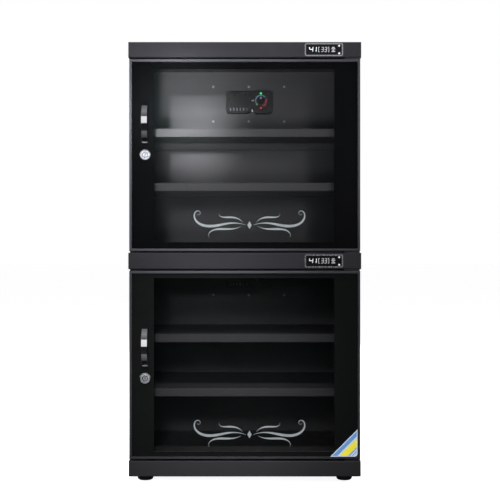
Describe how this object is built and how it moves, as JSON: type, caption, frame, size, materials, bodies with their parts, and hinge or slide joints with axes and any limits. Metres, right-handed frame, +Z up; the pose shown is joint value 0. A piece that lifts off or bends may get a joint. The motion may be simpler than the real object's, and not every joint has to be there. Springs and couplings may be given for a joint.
{
  "type": "camera dry cabinet",
  "caption": "Free-standing steel dry cabinet for cameras and lenses with two glazed doors, cam locks, bow handles, lift-out shelves and rear drying units.",
  "frame": {"origin": "on the ground under the middle of the cabinet's outer box", "axes": "+Z up, front of the cabinet towards -Y, +X to the right seen from the front"},
  "size_m": [0.54, 0.495, 1.023],
  "materials": {
    "body_paint": "fine textured black powder coat",
    "header_paint": "fine textured black powder coat",
    "door_paint": "semi-matt black powder coat",
    "shelf_paint": "black powder coat",
    "rail_paint": "black powder coat",
    "clear_glass": "clear float glass",
    "gasket_rubber": "soft black magnetic seal",
    "foot_rubber": "moulded rubber",
    "chrome": "polished chrome",
    "plug_metal": "die-cast plug",
    "bright_zinc": "bright zinc plate",
    "black_plastic": "moulded black plastic",
    "knob_plastic": "moulded black plastic",
    "bezel_plastic": "grey bezel",
    "lens_plastic": "smoked display window",
    "button_plastic": "white button",
    "board": "circuit board",
    "green_lamp": "green lamp",
    "red_lamp": "red lamp",
    "desiccant": "desiccant cartridge"
  },
  "bodies": {
    "cabinet": {"side_panel_left": "body_paint", "side_panel_right": "body_paint", "back_panel": "body_paint", "top_panel": "body_paint", "mid_deck": "body_paint", "bottom_deck": "body_paint", "top_header": "header_paint", "mid_header": "header_paint", "base_plinth": "body_paint", "shelf_rails_upper": "rail_paint", "shelf_rails_lower": "rail_paint", "shelf_clips_upper": "bright_zinc", "shelf_clips_lower": "bright_zinc", "foot_pads": "foot_rubber", "foot_screws": "bright_zinc", "hinge_bracket_top": "rail_paint", "hinge_bracket_mid": "rail_paint", "hinge_bracket_base": "rail_paint", "dryer_housing_upper": "black_plastic", "dryer_housing_lower": "black_plastic", "dryer_lamps_green": "green_lamp", "dryer_lamps_red": "red_lamp", "unit_screws": "bright_zinc", "exhaust_box_upper": "body_paint", "exhaust_box_lower": "body_paint", "desiccant_pack_upper": "desiccant", "desiccant_pack_lower": "desiccant", "power_inlets": "black_plastic", "display_bezel_upper": "bezel_plastic", "display_bezel_lower": "bezel_plastic", "display_lens_upper": "lens_plastic", "display_lens_lower": "lens_plastic", "display_boards": "board"},
    "upper_door": {"door_frame_upper": "door_paint", "door_glass_upper": "clear_glass", "door_gasket_upper": "gasket_rubber", "door_handle_upper": "chrome", "handle_screws_upper": "bright_zinc", "lock_barrel_upper": "chrome"},
    "upper_lock": {"lock_plug_upper": "plug_metal", "lock_cam_upper": "bright_zinc"},
    "upper_up_button": {"button_upper_up": "button_plastic"},
    "upper_down_button": {"button_upper_down": "button_plastic"},
    "upper_knob": {"dryer_knob_upper": "knob_plastic"},
    "upper_high_shelf": {"shelf_upper_high": "shelf_paint"},
    "upper_low_shelf": {"shelf_upper_low": "shelf_paint"},
    "lower_door": {"door_frame_lower": "door_paint", "door_glass_lower": "clear_glass", "door_gasket_lower": "gasket_rubber", "door_handle_lower": "chrome", "handle_screws_lower": "bright_zinc", "lock_barrel_lower": "chrome"},
    "lower_lock": {"lock_plug_lower": "plug_metal", "lock_cam_lower": "bright_zinc"},
    "lower_up_button": {"button_lower_up": "button_plastic"},
    "lower_down_button": {"button_lower_down": "button_plastic"},
    "lower_knob": {"dryer_knob_lower": "knob_plastic"},
    "lower_high_shelf": {"shelf_lower_high": "shelf_paint"},
    "lower_low_shelf": {"shelf_lower_low": "shelf_paint"}
  },
  "joints": [
    {"name": "upper_door_hinge", "type": "hinge", "parent": "cabinet", "child": "upper_door", "pos_m": [0.259, -0.2065, 0.983], "axis": [0, 0, 1], "range_deg": [0, 135]},
    {"name": "upper_lock_turn", "type": "hinge", "parent": "upper_door", "child": "upper_lock", "pos_m": [-0.231, -0.2175, 0.761], "axis": [0, 1, 0], "range_deg": [0, 90]},
    {"name": "upper_up_press", "type": "slide", "parent": "cabinet", "child": "upper_up_button", "axis": [0, 1, 0], "range_m": [0, 0.0008], "stiffness_N_per_m": 1200, "springref_m": -0.0002},
    {"name": "upper_down_press", "type": "slide", "parent": "cabinet", "child": "upper_down_button", "axis": [0, 1, 0], "range_m": [0, 0.0008], "stiffness_N_per_m": 1200, "springref_m": -0.0002},
    {"name": "upper_humidity_turn", "type": "hinge", "parent": "cabinet", "child": "upper_knob", "pos_m": [0.0414, 0.1813, 0.9398], "axis": [0, 1, 0], "range_deg": [-135, 135]},
    {"name": "upper_high_shelf_lift", "type": "slide", "parent": "cabinet", "child": "upper_high_shelf", "axis": [0, 0, 1], "range_m": [0, 0.02]},
    {"name": "upper_low_shelf_lift", "type": "slide", "parent": "cabinet", "child": "upper_low_shelf", "axis": [0, 0, 1], "range_m": [0, 0.02]},
    {"name": "lower_door_hinge", "type": "hinge", "parent": "cabinet", "child": "lower_door", "pos_m": [0.259, -0.2065, 0.492], "axis": [0, 0, 1], "range_deg": [0, 135]},
    {"name": "lower_lock_turn", "type": "hinge", "parent": "lower_door", "child": "lower_lock", "pos_m": [-0.231, -0.2175, 0.243], "axis": [0, 1, 0], "range_deg": [0, 90]},
    {"name": "lower_up_press", "type": "slide", "parent": "cabinet", "child": "lower_up_button", "axis": [0, 1, 0], "range_m": [0, 0.0008], "stiffness_N_per_m": 1200, "springref_m": -0.0002},
    {"name": "lower_down_press", "type": "slide", "parent": "cabinet", "child": "lower_down_button", "axis": [0, 1, 0], "range_m": [0, 0.0008], "stiffness_N_per_m": 1200, "springref_m": -0.0002},
    {"name": "lower_humidity_turn", "type": "hinge", "parent": "cabinet", "child": "lower_knob", "pos_m": [0.0414, 0.1813, 0.4698], "axis": [0, 1, 0], "range_deg": [-135, 135]},
    {"name": "lower_high_shelf_lift", "type": "slide", "parent": "cabinet", "child": "lower_high_shelf", "axis": [0, 0, 1], "range_m": [0, 0.02]},
    {"name": "lower_low_shelf_lift", "type": "slide", "parent": "cabinet", "child": "lower_low_shelf", "axis": [0, 0, 1], "range_m": [0, 0.02]}
  ]
}
